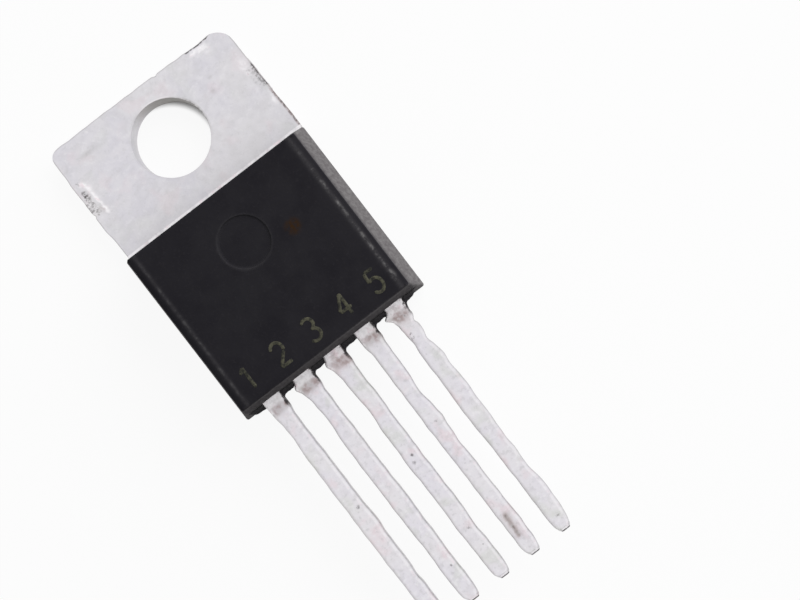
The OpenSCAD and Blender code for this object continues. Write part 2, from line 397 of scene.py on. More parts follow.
# How far the marks raise or press the front, over which shares of the thickness, and how rough the scars are
raised = {"left lip": 0.012, "left pit": -0.045, "nick": -0.03, "small nick": -0.05}
pressed_shares = (0.2, 0.95)
left_rough = 0.015
right_rough = 0.012
scar_wave = 0.3
most_raised = 0.01


def knock_tab(rows, marks):
    """Shape of the wear: outer edges that drift and waver, stubs that stand out, and scars pressed into the
    front's rim. Each is a smooth step, a bell curve or a rough field times how far it goes."""
    x, y, z = np.moveaxis(rows.copy(), -1, 0)
    front = ease(pressed_shares[0] * tab_t, pressed_shares[1] * tab_t, z)
    side = ease(side_share * tab_x, tab_x, np.abs(x)) * ease(shoulder_y + side_lift, body_top + side_lift, y)
    sag = top_sag * ease(*top_sag_run, x) + nick_in * span(nick_dent, x) + small_nick_in * marks["small nick"]
    sag += top_waver * np.maximum(1 + torn(x, np.zeros_like(x), top_wave, seed=8), 0)
    waver = side_waver * np.maximum(1 + torn(np.sign(x), y, side_wave, seed=9), 0)
    drift = {edge: sum(far * ease(start, full, y) for far, start, full in runs)
             for edge, runs in edge_drifts.items()}
    shift = np.where(x > 0, drift["right"], drift["left"] + notch_in * bell(y, notch_y, notch_w))
    torn_stub = 1 - stub_rough_share + stub_rough_share * torn(y, z, stub_wave, seed=3)
    x += side * (shift - np.sign(x) * waver) + np.sign(x) * stub_out * marks["stub"] * torn_stub
    y -= sag * ease(hole_r, tab_top, y)
    rough = torn(x, y, scar_wave, seed=7)
    scars = left_rough * marks["left torn"] * rough + right_rough * marks["right torn"] * (rough - 1)
    z += front * (summed(marks, raised) + scars)
    return np.stack([x, y, np.minimum(z, tab_t + most_raised)], -1)


def add(tree, kind, sockets=None, **fields):
    """One shader node: fields are its settings, and sockets its inputs, as numbers or other outputs."""
    made = tree.nodes.new(kind)
    for field, value in fields.items():
        setattr(made, field, value)
    for socket, value in (sockets or {}).items():
        if isinstance(value, bpy.types.NodeSocket):
            tree.links.new(value, made.inputs[socket])
        else:
            made.inputs[socket].default_value = value
    return made


def place_mm(tree, stretch=(1, 1, 1)):
    """The point on the piece in its own millimetres, with an axis shrunk where a pattern is drawn out."""
    here = add(tree, "ShaderNodeTexCoord").outputs["Object"]
    scale = tuple(share / MM for share in stretch)
    return add(tree, "ShaderNodeVectorMath", {0: here, 1: scale}, operation="MULTIPLY").outputs["Vector"]


def cloud(tree, where, per_mm, detail=3.0, rough=0.55):
    """Soft noise of 0 to 1, with about per_mm waves to the millimetre."""
    sockets = {"Vector": where, "Scale": per_mm, "Detail": detail, "Roughness": rough}
    return add(tree, "ShaderNodeTexNoise", sockets).outputs["Fac"]


def ramp(tree, value, low, high, start=0.0, end=1.0):
    """Smooth step of a value: start at low and below, end at high and above."""
    sockets = {"Value": value, "From Min": low, "From Max": high, "To Min": start, "To Max": end}
    return add(tree, "ShaderNodeMapRange", sockets, interpolation_type="SMOOTHSTEP").outputs["Result"]


def join(tree, kind, first, second):
    """Two numbers joined by ADD, MULTIPLY or MAXIMUM."""
    return add(tree, "ShaderNodeMath", {0: first, 1: second}, operation=kind).outputs[0]


def tint(tree, share, under, over):
    """Colour that goes from under to over as share goes from 0 to 1."""
    return add(tree, "ShaderNodeMix", {0: share, 6: under, 7: over}, data_type="RGBA").outputs[2]


def stored(tree, name):
    """A number that the mesh keeps at each point."""
    return add(tree, "ShaderNodeAttribute", attribute_name=name).outputs["Fac"]


def emboss(tree, shader, height, depth, strength=0.3):
    """Fine relief of a finish, depth millimetres deep where the height goes from 0 to 1."""
    bump = add(tree, "ShaderNodeBump", {"Height": height, "Strength": strength, "Distance": depth * MM})
    tree.links.new(bump.outputs["Normal"], shader.inputs["Normal"])


def finish_of(name):
    """A new finish: its node tree, and its shader joined to the output."""
    material = bpy.data.materials.new(name)
    material.use_nodes = True
    tree = material.node_tree
    tree.nodes.clear()
    shader = add(tree, "ShaderNodeBsdfPrincipled")
    add(tree, "ShaderNodeOutputMaterial", {"Surface": shader.outputs["BSDF"]})
    return material, tree, shader


tin_colours = {
    "blush": (0.76, 0.66, 0.695, 1),
    "moss": (0.62, 0.64, 0.59, 1),
    "pale": (0.755, 0.74, 0.77, 1),
    "shade": (0.58, 0.57, 0.585, 1),
    "dark crystal": (0.5, 0.49, 0.505, 1),
    "pale crystal": (0.86, 0.85, 0.87, 1),
    # Colour of the dull trace: real tarnish, and painted shade where the mesh marks it so
    "tarnish": (0.26, 0.25, 0.225, 1),
    "copper": (0.40, 0.315, 0.31, 1),
    "pink shine": (0.92, 0.8, 0.84, 1),
    "white shine": (0.95, 0.93, 0.95, 1),
    # Colour of the dirt trace: real dirt, and on the leads a painted shadow beside each root
    "grime": (0.095, 0.085, 0.087, 1),
}
moss_share = 0.6
# Painted highlight: a pale line across the plate's front where it meets the moulding
moulding_highlight = (-0.1, -0.02, 0.12, 0.2)
moulding_highlight_share = 0.85
tin_roughness = (0.36, 0.5)
worn_roughness = 0.2
tin_relief = 0.03


def tin_plate(name, tones, speckle, blush):
    """Dull tin over copper: a pale grey that drifts between two tones, with a blush of pink or moss where
    the tin is thin, finely mottled, with paler crystals. The mesh says where it is dull, coppery, bright
    or dirty: the dull trace also carries painted shade, the bright one painted highlights, and on the leads
    the dirty one a painted shadow beside each root. A painted highlight follows the moulding's edge across
    the plate's front."""
    material, tree, shader = finish_of(name)
    where = place_mm(tree)
    drift = cloud(tree, where, per_mm=0.45, detail=2.0)
    patch = cloud(tree, where, per_mm=0.75, detail=2.0)
    mottle = cloud(tree, where, per_mm=2.6, detail=4.0)
    crystal = cloud(tree, where, per_mm=5.0)
    base = tint(tree, ramp(tree, drift, 0.35, 0.65), *tones)
    layers = [
        (patch, 0.54, 0.68, blush, "blush"),
        (patch, 0.46, 0.33, moss_share * blush, "moss"),
        (mottle, 0.4, 0.7, 0.5, "pale"),
        (mottle, 0.5, 0.32, 0.4 * speckle, "shade"),
        (crystal, 0.46, 0.28, 0.5 * speckle, "dark crystal"),
        (crystal, 0.52, 0.72, 0.6 * speckle, "pale crystal"),
    ]
    for noise, begins, full, share, colour in layers:
        base = tint(tree, ramp(tree, noise, begins, full, end=share), base, tin_colours[colour])
    # The dull trace darkens towards an olive grey, for tarnish and for painted shade
    tarnish = stored(tree, "dull")
    base = tint(tree, tarnish, base, tin_colours["tarnish"])
    red = join(tree, "MULTIPLY", stored(tree, "copper"), ramp(tree, crystal, 0.36, 0.6, start=0.35))
    base = tint(tree, red, base, tin_colours["copper"])
    # Painted highlight along the moulding's edge
    axis = add(tree, "ShaderNodeSeparateXYZ", {"Vector": where}).outputs
    starts, full, still_full, ends = (body_top + place for place in moulding_highlight)
    line = join(tree, "MULTIPLY", ramp(tree, axis["Y"], ends, still_full, end=moulding_highlight_share),
                ramp(tree, axis["Y"], starts, full))
    line = join(tree, "MULTIPLY", line, ramp(tree, axis["Z"], *front_rise))
    pale = join(tree, "MAXIMUM", stored(tree, "bright"), line)
    shine = join(tree, "MULTIPLY", pale, ramp(tree, mottle, 0.3, 0.55, start=0.3))
    flush = ramp(tree, cloud(tree, where, per_mm=3.5, detail=2.0), 0.32, 0.46)
    base = tint(tree, shine, base, tint(tree, flush, tin_colours["pink shine"], tin_colours["white shine"]))
    # The dirt trace darkens towards near black, for dirt and, on the leads, painted shadow
    dirt = stored(tree, "dirt")
    speck = ramp(tree, cloud(tree, where, per_mm=7.0, rough=0.6), 0.66, 0.34, start=-0.3, end=0.35)
    grime = join(tree, "MULTIPLY", ramp(tree, dirt, 0.0, 0.75),
                 ramp(tree, join(tree, "ADD", speck, dirt), 0.1, 0.85))
    base = tint(tree, grime, base, tin_colours["grime"])
    tree.links.new(base, shader.inputs["Base Color"])
    shader.inputs["Metallic"].default_value = 1.0
    worn = join(tree, "MAXIMUM", grime, tarnish)
    rough = join(tree, "ADD", ramp(tree, crystal, 0.2, 0.8, *tin_roughness),
                 ramp(tree, worn, 0.0, 1.0, end=worn_roughness))
    tree.links.new(rough, shader.inputs["Roughness"])
    emboss(tree, shader, join(tree, "ADD", join(tree, "MULTIPLY", crystal, 0.5), mottle), tin_relief)
    return material


# How strongly the marks show on the plate, in each trace that the finish reads. In the dull trace the rolled
# edges, the foot beside the body and the hole's shade are painted shade; in the bright one the hole's glint
# is a painted highlight
# Dulling of the hole's wall: a light even tarnish, and painted shade on the side that faces away from the
# lamp
hole_dulling_and_shade = {"hole wall": 0.1, "hole shade": 0.72}
tab_dulling_and_shade = {"rolled edge": 0.35, "left torn": 0.3, "smudge": 0.22, "right torn": 0.1, "hole rim": 0.1,
            "foot": 0.05}
stub_copper = 0.4
tab_copper = {"left end": 0.5, "right line": 1.3}
stub_dirt = 0.12
tab_dirt = {"left torn": 0.42, "left blot": 0.6, "right torn": 0.42, "right line": 0.75, "nick line": 0.6,
            "small nick": 0.5, "smudge": 0.2, "hole burr": 0.4}
# Of these, the hole glint is a painted highlight on the rim
tab_bright = {"left lip": 1, "left pale": 0.8, "left torn": 0.5, "right pale": 0.8, "nick patch": 1,
              "bright dot": 0.6, "hole glint": 0.6}
tab_tones = (0.675, 0.66, 0.71, 1), (0.70, 0.685, 0.71, 1)

plain_rows = plate_rings()
plate_marks = tab_marks(*np.moveaxis(plain_rows, -1, 0))
on_front = ease(*front_rise, plain_rows[..., 2])
tab = skin("tab_plate", knock_tab(plain_rows, plate_marks), closed=True)
mark(tab, "dull", np.maximum(summed(plate_marks, hole_dulling_and_shade), on_front * summed(plate_marks, tab_dulling_and_shade)))
mark(tab, "copper", np.maximum(stub_copper * plate_marks["stub"], on_front * summed(plate_marks, tab_copper)))
mark(tab, "dirt", stub_dirt * plate_marks["stub"] + on_front * summed(plate_marks, tab_dirt))
mark(tab, "bright", on_front * np.minimum(strongest(plate_marks, tab_bright), 1))
tab.data.materials.append(tin_plate("tab_tin", tab_tones, speckle=0.5, blush=0.3))
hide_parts("heatsink_tab")
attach(tab, "root")

# Leads: five flat strips stamped from tinned copper, each with a wide post inside the moulding.
# The bar that joined them beside the body was cut away, which leaves wider roots with stained copper,
# and the tips are cut to a blunt taper. The centre lead's foot steps down to the plate.
adjust_low, adjust_high = corners_mm("adjust_lead")
lead_t = adjust_high[2] - adjust_low[2]
lead_middle = (adjust_high[2] + adjust_low[2]) / 2
lead_tip = adjust_low[1]
post_w = adjust_high[0] - adjust_low[0]
body_bottom = body_low[1]
post_in = 0.6
post_end = body_bottom + post_in
post_step = 0.02
root_w = 0.96
root_l = 0.65
root_end = body_bottom - root_l
root_soft = 0.1
root_taper = {"left": 0.6, "right": 0.35}
lead_w = 0.8
tip_l = 0.8
tip_half = {"left": 0.25, "right": 0.3}
tip_bow = 1.4
tip_slant = 0.25
tip_slant_run = 0.5
tip_round = 0.06
tip_round_l = 0.14
lead_roll = 0.1
neck_run = 0.8
station = 0.06
post_rows = 16
step_rows = 5
end_shares = np.array([0.75, 0.5, 0.25])

# Small waves of the edges past the roots: height, and length to the radian
side_waves = (0.006, 0.47), (0.004, 0.19)
width_waves = (0.005, 0.31), (0.004, 0.13)
wave_rise = 0.5

# How the hand-worn edges leave the straight: place along the lead, how far out, and half the swell's length
lead_swells = {
    "adjust_lead": {
        "left": [(-12.75, -0.05, 0.5), (-14.0, -0.08, 0.9), (-19.2, 0.02, 0.8), (-21.4, 0.02, 0.6)],
        "right": [(-17.5, 0.035, 6), (-19.2, 0.04, 0.6), (-22.2, -0.04, 0.4)]},
    "inhibit_lead": {
        "left": [(-12.5, 0.17, 0.22), (-13.3, -0.04, 0.35), (-14.4, -0.1, 0.8), (-18.6, 0.01, 0.8),
                 (-21.6, -0.03, 0.5)],
        "right": [(-13.6, 0.02, 0.5), (-17.5, 0.03, 6), (-19.3, 0.03, 0.9), (-22.3, -0.02, 0.6)]},
    "ground_lead": {
        "left": [(-12.5, 0.16, 0.25), (-15.2, -0.08, 0.7), (-18.1, 0.05, 0.5), (-21.6, 0.045, 0.35)],
        "right": [(-13.4, 0.05, 0.5), (-14.9, 0.04, 0.8), (-17.5, 0.02, 4), (-18.2, -0.03, 0.4),
                  (-22.1, -0.05, 0.6)]},
    "input_lead": {
        "left": [(-13.3, -0.03, 0.3), (-17.4, 0.035, 0.5)],
        "right": [(-13.4, 0.04, 0.6), (-15.8, -0.09, 0.55), (-17.3, 0.06, 0.3), (-18.8, -0.06, 0.5),
                  (-20.5, -0.04, 0.5), (-23.0, 0.03, 0.35)]},
    "output_lead": {
        "left": [(-12.5, 0.27, 0.17), (-13.05, -0.04, 0.15), (-14.05, -0.05, 0.3), (-17.8, 0.05, 1.3),
                 (-21.4, -0.02, 0.5)],
        "right": [(-12.6, -0.05, 0.3), (-13.2, -0.08, 0.15), (-14.2, -0.09, 0.3), (-15.15, 0.09, 0.35),
                  (-16.6, 0.09, 0.9), (-18.3, 0.07, 0.8), (-20.4, 0.04, 0.4), (-22.35, 0.12, 0.6),
                  (-23.5, 0.1, 0.7)]},
}

# Dark specks on the faces and coppery stains on the roots: place across and along the lead, and radius
lead_specks = {
    "adjust_lead": [(0.12, -18.26, 0.1), (-0.1, -20.6, 0.06)],
    "inhibit_lead": [(-0.1, -18.3, 0.05), (0.12, -22.8, 0.06)],
    "ground_lead": [(-0.14, -18.22, 0.11), (0.01, -17.88, 0.09), (0.03, -21.95, 0.1), (0.1, -22.9, 0.06)],
    "input_lead": [(0.07, -17.34, 0.1), (-0.05, -19.6, 0.05)],
    "output_lead": [(-0.25, -13.79, 0.13), (-0.19, -13.59, 0.09), (0.08, -12.78, 0.06), (0.1, -23.9, 0.1)],
}
root_stains = {
    "adjust_lead": [(-0.09, -12.65, 0.25), (0.38, -12.67, 0.12)],
    "inhibit_lead": [(-0.2, -12.7, 0.28), (0.34, -12.71, 0.22)],
    "ground_lead": [(0.0, -12.5, 0.36), (0.33, -12.8, 0.25)],
    "input_lead": [(0.1, -12.6, 0.34), (0.38, -12.8, 0.2)],
    "output_lead": [(-0.2, -12.58, 0.32), (0.05, -12.82, 0.25)],
}
scratches = {"input_lead": ((-0.05, -22.5), (-0.09, -23.55))}

# Where each mark begins and is full. Across and up go from -1 to 1 over a lead, and the rest is millimetres
# from the mark's own place: the body, the cut end or the scratch
across_fades = {
    "left edge": (0.62, 0.95), "right edge": (0.86, 0.98), "sheared edge": (0.86, 0.97),
    "cut side": (0.65, 0.95), "pale flank": (0.6, 0.85), "pale line": (0.5, 0.65),
    "pale line's end": (0.9, 0.8), "end rim": (0.7, 0.95), "end face": (0.85, 0.6),
}
up_fades = {"top": (-0.2, 0.6), "burr": (0.0, -0.4)}
body_fades = {"cut side": (0.9, 0.3), "pale root": (0.3, 0.15)}
end_fades = {"end rim": (0.06, 0.02), "burr": (0.05, 0.02), "end face": (0.03, 0.01)}
scratch_fades = {"scratch": (0.1, 0.02), "scratch tarnish": (0.13, 0.03), "scratch copper": (0.3, 0.04)}
ragged_out = 0.12
ragged_wave = 0.3

# How strongly the marks show on the leads; the darkened rolled edges are painted shade
edge_shade_and_root_dulling = {"left edge": 0.3, "right edge": 0.25, "root": 0.2}
scratch_dull = 0.5
scratch_copper = 0.55
most_copper = 0.9
# On the leads the dirt trace also holds a painted shadow on each root's right side
lead_dirt_and_shadow = {"cut side": 0.8, "end rim": 0.3, "burr": 0.9, "root": 0.2, "specks": 0.65, "scratch": 0.36}
clean_edges = ("input_lead", "output_lead")
sheared_edge_dirt = {name: 0.1 if name in clean_edges else 0.25 for name in lead_swells}
# Painted highlight on the cut end's face
end_face_highlight = 0.45
# The line inside each lead's right edge is a painted highlight
top_bright = {"pale root": 0.6, "pale line": 0.4}
lead_tones = (0.735, 0.712, 0.765, 1), (0.76, 0.738, 0.765, 1)
first_wear_seed = 20


def slab_ring(corner_steps, width_steps, height_steps):
    """Ring of a slab with rounded edges, as signs of the straight runs and angles of the corner arcs:
    the point is (sign x half size less radius) plus radius times the angle's direction."""
    corners = np.array([(1, 1), (-1, 1), (-1, -1), (1, -1)], float)
    turn = np.linspace(0, np.pi / 2, corner_steps)
    signs, angles = [], []
    for quarter, (before, corner) in enumerate(zip(np.roll(corners, 1, 0), corners)):
        run = np.linspace(0, 1, (height_steps, width_steps)[quarter % 2], endpoint=False)[1:, None]
        signs += [before + (corner - before) * run, np.repeat(corner[None], corner_steps, 0)]
        angles += [np.full(len(run), quarter * np.pi / 2), turn + quarter * np.pi / 2]
    return np.vstack(signs), np.concatenate(angles)


def flank(y, side, swells):
    """Distance from a lead's middle line to one of its edges: post, root, blade and the blunt taper of the
    tip, with bell curves added for the swells."""
    out = post_w / 2 + (root_w - post_w) / 2 * ease(post_end + post_step, post_end - post_step, y)
    out += (lead_w - root_w) / 2 * ease(root_end + root_soft, root_end - root_taper[side], y)
    out += sum(height * bell(y, place, half) for place, height, half in swells)
    tip = np.clip((lead_tip + tip_l - y) / tip_l, 0, 1) ** tip_bow
    return out + (tip_half[side] - out) * tip - tip_round * ease(lead_tip + tip_round_l, lead_tip, y)


def ripple(y, waves, phases):
    """Sum of sines along a lead, each with its height, its length to the radian and its phase."""
    return sum(height * np.sin(y / length + phase) for (height, length), phase in zip(waves, phases))


def lead_rings(name, centre_x, inner_end, seed):
    """Rings along a lead: the slab's ring at each station, set square to the lead's middle line, which for
    the centre lead starts on the plate and climbs a slope to the leads' height. The end is cut at a slant."""
    rng = np.random.default_rng(seed)
    y = np.concatenate([
        np.linspace(inner_end, post_end + station, post_rows),
        post_end + np.linspace(2 * post_step, -2 * post_step, step_rows),
        np.linspace(post_end - station, body_bottom + 6 * station, step_rows),
        np.arange(body_bottom + 5 * station, lead_tip + station / 3, -station),
        [lead_tip],
    ])
    low = tab_t + lead_t / 2 if name == "ground_lead" else lead_middle
    middle_z = low + (lead_middle - low) * np.clip((plate_end - y) / neck_run, 0, 1)
    slope = np.arctan2(np.gradient(middle_z), -np.gradient(y))[:, None]
    signs, angles = slab_ring(corner_steps=6, width_steps=12, height_steps=7)
    phases = rng.uniform(0, 2 * np.pi, len(side_waves + width_waves))
    wave = ripple(y, side_waves, phases[:len(side_waves)])
    pinch = ripple(y, width_waves, phases[len(side_waves):])
    bare = ease(root_end, root_end - wave_rise, y)
    left = flank(y, "left", lead_swells[name]["left"]) + (pinch - wave) * bare
    right = flank(y, "right", lead_swells[name]["right"]) + (pinch + wave) * bare
    middle = ((right - left) / 2)[:, None]
    half = ((right + left) / 2)[:, None]
    x = signs[:, 0] * (half - lead_roll) + lead_roll * np.cos(angles)
    up = signs[:, 1] * (lead_t / 2 - lead_roll) + lead_roll * np.sin(angles)
    cut = ease(lead_tip + tip_slant_run, lead_tip, y)[:, None] * tip_slant * (up / lead_t + 0.5)
    rows = np.stack([centre_x + middle + x, y[:, None] - up * np.sin(slope) + cut,
                     middle_z[:, None] + up * np.cos(slope)], -1)
    ring_end = rows[-1].mean(0) + (rows[-1] - rows[-1].mean(0)) * end_shares[:, None, None]
    across = np.vstack([x / half, x[-1] / half[-1] * end_shares[:, None]])
    level = up / (lead_t / 2)
    levels = np.vstack([np.broadcast_to(level, x.shape), level * end_shares[:, None]])
    return np.concatenate([rows, ring_end]), across, levels


def line_gap(x, y, ends):
    """Distance of points from a straight line between two ends: that to the nearest place on it."""
    start, stop = np.array(ends)
    run = stop - start
    share = np.clip(((np.stack([x, y], -1) - start) @ run) / (run @ run), 0, 1)
    return np.hypot(x - start[0] - share * run[0], y - start[1] - share * run[1])


def lead_wear(name, rows, across, up, centre_x, seed):
    """Wear and painted light along a lead, by smooth steps away from each mark's place: rolled edges dulled
    as painted shade, coppery stains and a painted shadow on the root's right side, specks on the face, a cut
    end with a dark burr and a painted highlight on its face, and a painted highlight inside the right edge."""
    x, y = rows[..., 0] - centre_x, rows[..., 1]
    below = body_bottom - y
    end = y - tip_slant * (up + 1) / 2 - lead_tip
    outer = np.maximum(np.abs(across), np.abs(up))
    ragged = across + ragged_out * torn(x, y, ragged_wave, seed)
    scratch = line_gap(x, y, scratches[name]) if name in scratches else np.full_like(x, np.inf)
    top = ease(*up_fades["top"], up)
    root = ease(root_end - root_soft, root_end + root_soft, y)

    def dots(places):
        """Bell curves about places on the lead's top."""
        return [top * spot(x, y, (place, along), (size, size)) for place, along, size in places]

    marks = {
        # Rolled edges, which the dull trace darkens as painted shade
        "left edge": ease(*across_fades["left edge"], -across),
        "right edge": ease(*across_fades["right edge"], across),
        "sheared edge": ease(*across_fades["sheared edge"], across),
        "root": root,
        # Painted shadow on the root's right side, beside the body
        "cut side": ease(*body_fades["cut side"], below) * ease(*across_fades["cut side"], ragged),
        "end rim": ease(*end_fades["end rim"], end) * ease(*across_fades["end rim"], outer),
        # The cut end's face, which gets a painted highlight
        "end face": ease(*end_fades["end face"], end) * ease(*across_fades["end face"], outer),
        "burr": ease(*end_fades["burr"], end) * ease(*up_fades["burr"], up),
        "specks": np.maximum.reduce(dots(lead_specks[name])),
        "pale root": np.maximum(ease(*body_fades["pale root"], below),
                                root * ease(*across_fades["pale flank"], -across)),
        # Painted highlight along the top, inside the right edge
        "pale line": (1 - root) * ease(*across_fades["pale line"], across)
                     * ease(*across_fades["pale line's end"], across),
    }
    marks.update({trace: top * ease(*fade, scratch) for trace, fade in scratch_fades.items()})
    dull = np.maximum(summed(marks, edge_shade_and_root_dulling), scratch_dull * marks["scratch tarnish"])
    copper = np.maximum(sum(dots(root_stains[name])), scratch_copper * marks["scratch copper"])
    return {
        "dull": np.clip(dull, 0, 1),
        "copper": np.clip(copper, 0, most_copper),
        "dirt": strongest(marks, {**lead_dirt_and_shadow, "sheared edge": sheared_edge_dirt[name]}),
        "bright": end_face_highlight * marks["end face"] + top * strongest(marks, top_bright),
    }


lead_tin = tin_plate("lead_tin", lead_tones, speckle=0.8, blush=0.8)
for number, name in enumerate(lead_swells):
    low, high = corners_mm(name)
    centre_x = (low[0] + high[0]) / 2
    rows, across, up = lead_rings(name, centre_x, high[1], number)
    lead = skin(name.replace("_lead", "_strip"), rows)
    for trace, values in lead_wear(name, rows, across, up, centre_x, first_wear_seed + number).items():
        mark(lead, trace, values)
    lead.data.materials.append(lead_tin)
    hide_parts(name)
    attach(lead, "root")

# Chip, its solder and the bond wires: a diced silicon chip soldered to the plate, with drawn aluminium
# wires pressed onto its pads and onto the posts. The moulding hides them, so the solids stay as they are.
wire_tones = (0.64, 0.64, 0.66, 1), (0.76, 0.76, 0.78, 1)
chip_tones = (0.08, 0.09, 0.12, 1), (0.12, 0.13, 0.17, 1)
solder_tones = (0.27, 0.27, 0.29, 1), (0.36, 0.36, 0.38, 1)


def two_tone(name, tones, per_mm, roughness, metallic):
    """Finish of a hidden piece: two tones of one colour in soft noise."""
    material, tree, shader = finish_of(name)
    share = ramp(tree, cloud(tree, place_mm(tree), per_mm), 0.35, 0.65)
    tree.links.new(tint(tree, share, *tones), shader.inputs["Base Color"])
    shader.inputs["Roughness"].default_value = roughness
    shader.inputs["Metallic"].default_value = metallic
    return material


drawn_wire = two_tone("drawn_aluminium", wire_tones, per_mm=20.0, roughness=0.3, metallic=1.0)
hidden_finishes = {name.replace("_lead", "_wire"): drawn_wire for name in lead_swells}
polished_chip = two_tone("polished_silicon", chip_tones, per_mm=3.0, roughness=0.12, metallic=0.0)
dull_solder = two_tone("dull_solder", solder_tones, per_mm=8.0, roughness=0.5, metallic=1.0)
hidden_finishes.update({"silicon_die": polished_chip, "die_solder": dull_solder})
for name, material in hidden_finishes.items():
    slots = frame["nodes"][name].data.materials
    slots.clear()
    slots.append(material)

# Moulded body: filled black epoxy, moulded in one shot round the plate, chip and posts.
# The sides draw in towards the front, the front carries the round dimple of an ejector pin, the long
# front edges are rubbed to a shallow bevel, and a little flash is left beside each lead.
body_x = body_high[0]
ink_room = 0.01
body_face = body_high[2] - ink_room
body_back = body_low[2]
side_draft, top_draft, bottom_draft = np.radians([10, 8, 8])
foot_r = 0.04
foot_top = 0.2
brow_r = 0.1
upright_r = 0.1
bevel_w = 0.3
bevel_drop = 0.06
bevel_soft = (0.05, 0.02)
dimple_y = -6.1
dimple_r = 1.15
dimple_depth = 0.05
dimple_roll = 0.03
dimple_shares = (0.985, 0.9, 0.7, 0.45, 0.2, 0.06)

# The pocket that the plate fills: its lap over the plate, rounding, heights of its rings, and how far its
# floor narrows to the middle, across and along
pocket_lap = 0.01
pocket_r = 0.1
pocket_top = 0.06
pocket_rim = (0.03, 0.01)
pocket_floor_shares = np.linspace(0.9, 0, 5)
pocket_narrows = (4, 3.5)
pocket_step = 0.02
pocket_heights = (1.0, undercut_h + pocket_step)
undercut_heights = (undercut_h - pocket_step, 0.25, body_back + 0.005)
back_insets = (0.4, 0.045, 0.6)

# Rows of the rounded edges, the walls and the front
body_roll_rows = 5
lower_rows = 6
upper_rows = 22
brow_rows = 9
rim_insets = np.linspace(0.03, 0.5, 14)
least_r = 0.03
face_rows = 40
level_gap = 1e-6

# Flash: how far it stands out, its thickness, how much further it reaches beside each lead, and its fade
# to the corners
flash_l = 0.07
flash_t = 0.3
flash_lap = 0.05
flash_corner = 0.2
flash_corner_w = 0.06
flash_rough = 0.02
flash_wave = 0.25
flash_fade = 0.5
flash_rows = 40
flash_around = 20

# Lines worked out from these: the front's rubbed shoulders and ridge, and the walls at the leads' height
shoulder_x = body_x - (body_face - bevel_drop - tab_t) * np.tan(side_draft)
bevel_x = shoulder_x - bevel_w
ridge_y = body_bottom + (body_face - tab_t) * np.tan(bottom_draft)
parting_x = body_x - (lead_middle - tab_t) * np.tan(side_draft)
parting_y = body_bottom + (lead_middle - tab_t) * np.tan(bottom_draft)


def body_rings():
    """Rings of the body from the middle of its back pocket to the middle of its dimple. Outside they are
    rounded rectangles that follow the drafted walls; on the front they turn from rectangle to circle."""
    signs, angles = slab_ring(corner_steps=6, width_steps=120, height_steps=110)
    side_share = np.cos(angles) ** 2
    quarter = np.linspace(0, np.pi / 2, body_roll_rows)
    rings = []

    def ring(inset_x, inset_top, inset_bottom, side_z, end_z, radius):
        """Rounded rectangle set in from the body's sides, with one height on them and one at the ends."""
        half_x = body_x - inset_x - radius
        top, bottom = body_top - inset_top - radius, body_bottom + inset_bottom + radius
        x = signs[:, 0] * half_x + radius * np.cos(angles)
        y = (top + bottom) / 2 + signs[:, 1] * (top - bottom) / 2 + radius * np.sin(angles)
        rings.append(np.column_stack([x, y, side_z * side_share + end_z * (1 - side_share)]))

    pocket = np.array([plate_border + pocket_lap, pocket_top, plate_end - body_bottom + pocket_lap])
    narrows = np.array([pocket_narrows[0], pocket_narrows[1], pocket_narrows[1]])
    undercut = pocket + (undercut_w, 0, undercut_w)
    mouth = undercut - (pocket_rim[0], pocket_rim[1], pocket_rim[0])
    for share in pocket_floor_shares:
        ring(*(pocket + narrows * share), tab_t - pocket_lap, tab_t - pocket_lap, pocket_r)
    for z in pocket_heights:
        ring(*pocket, z, z, pocket_r)
    for z in undercut_heights:
        ring(*undercut, z, z, pocket_r)
    ring(*mouth, body_back, body_back, pocket_r)
    ring(*back_insets, body_back, body_back, upright_r)
    for a in quarter:
        out, z = foot_r * (1 - np.sin(a)), body_back + foot_r * (1 - np.cos(a))
        ring(out, out, out, z, z, upright_r)
    drafts = np.array([side_draft, top_draft, bottom_draft])
    wall_top = body_face - bevel_drop - 2 * brow_r
    upper_heights = np.linspace(tab_t, wall_top, upper_rows)[1:]
    for z in np.concatenate([np.linspace(foot_top, tab_t, lower_rows), upper_heights]):
        ring(*(max(z - tab_t, 0) * np.tan(drafts)), z, z, upright_r)
    wall_inset = (body_face - np.array([bevel_drop, 0, 0]) - tab_t) * np.tan(drafts)
    roll_inset = brow_r * (1 - np.sin(drafts)) / np.cos(drafts)
    for share in np.linspace(0, 1, brow_rows):
        a = drafts + (np.pi / 2 - drafts) * share
        drop = brow_r * (1 - np.sin(a))
        ring(*(wall_inset + roll_inset - brow_r * np.cos(a)),
             body_face - bevel_drop - drop[0], body_face - drop[1:].mean(), upright_r)
    for inset in rim_insets:
        ring(*(wall_inset + roll_inset + inset), body_face, body_face, max(upright_r - inset, least_r))
    rim = rings[-1]
    away = rim[:, :2] - (0, dimple_y)
    toward = away / np.linalg.norm(away, axis=1, keepdims=True)

    def dimple_ring(radius, z):
        """Circle about the dimple's middle, with its points in the directions of the rim's."""
        return np.column_stack([toward * radius + (0, dimple_y), np.full(len(rim), z)])

    lip = dimple_ring(dimple_r + dimple_roll, body_face)
    rings += [rim + (lip - rim) * share for share in np.linspace(0, 1, face_rows)[1:]]
    rings += [dimple_ring(dimple_r + dimple_roll * (1 - np.sin(a)), body_face - dimple_roll * (1 - np.cos(a)))
              for a in quarter[1:]]
    rings += [dimple_ring(dimple_r * share, body_face - dimple_depth) for share in dimple_shares]
    rows = np.array(rings)
    past_bevel = np.abs(rows[..., 0]) - bevel_x
    bevel = bevel_drop * ease(-bevel_soft[0], bevel_w + bevel_soft[1], past_bevel)
    rows[..., 2] -= np.where(rows[..., 2] > body_face - level_gap, bevel, 0)
    return rows


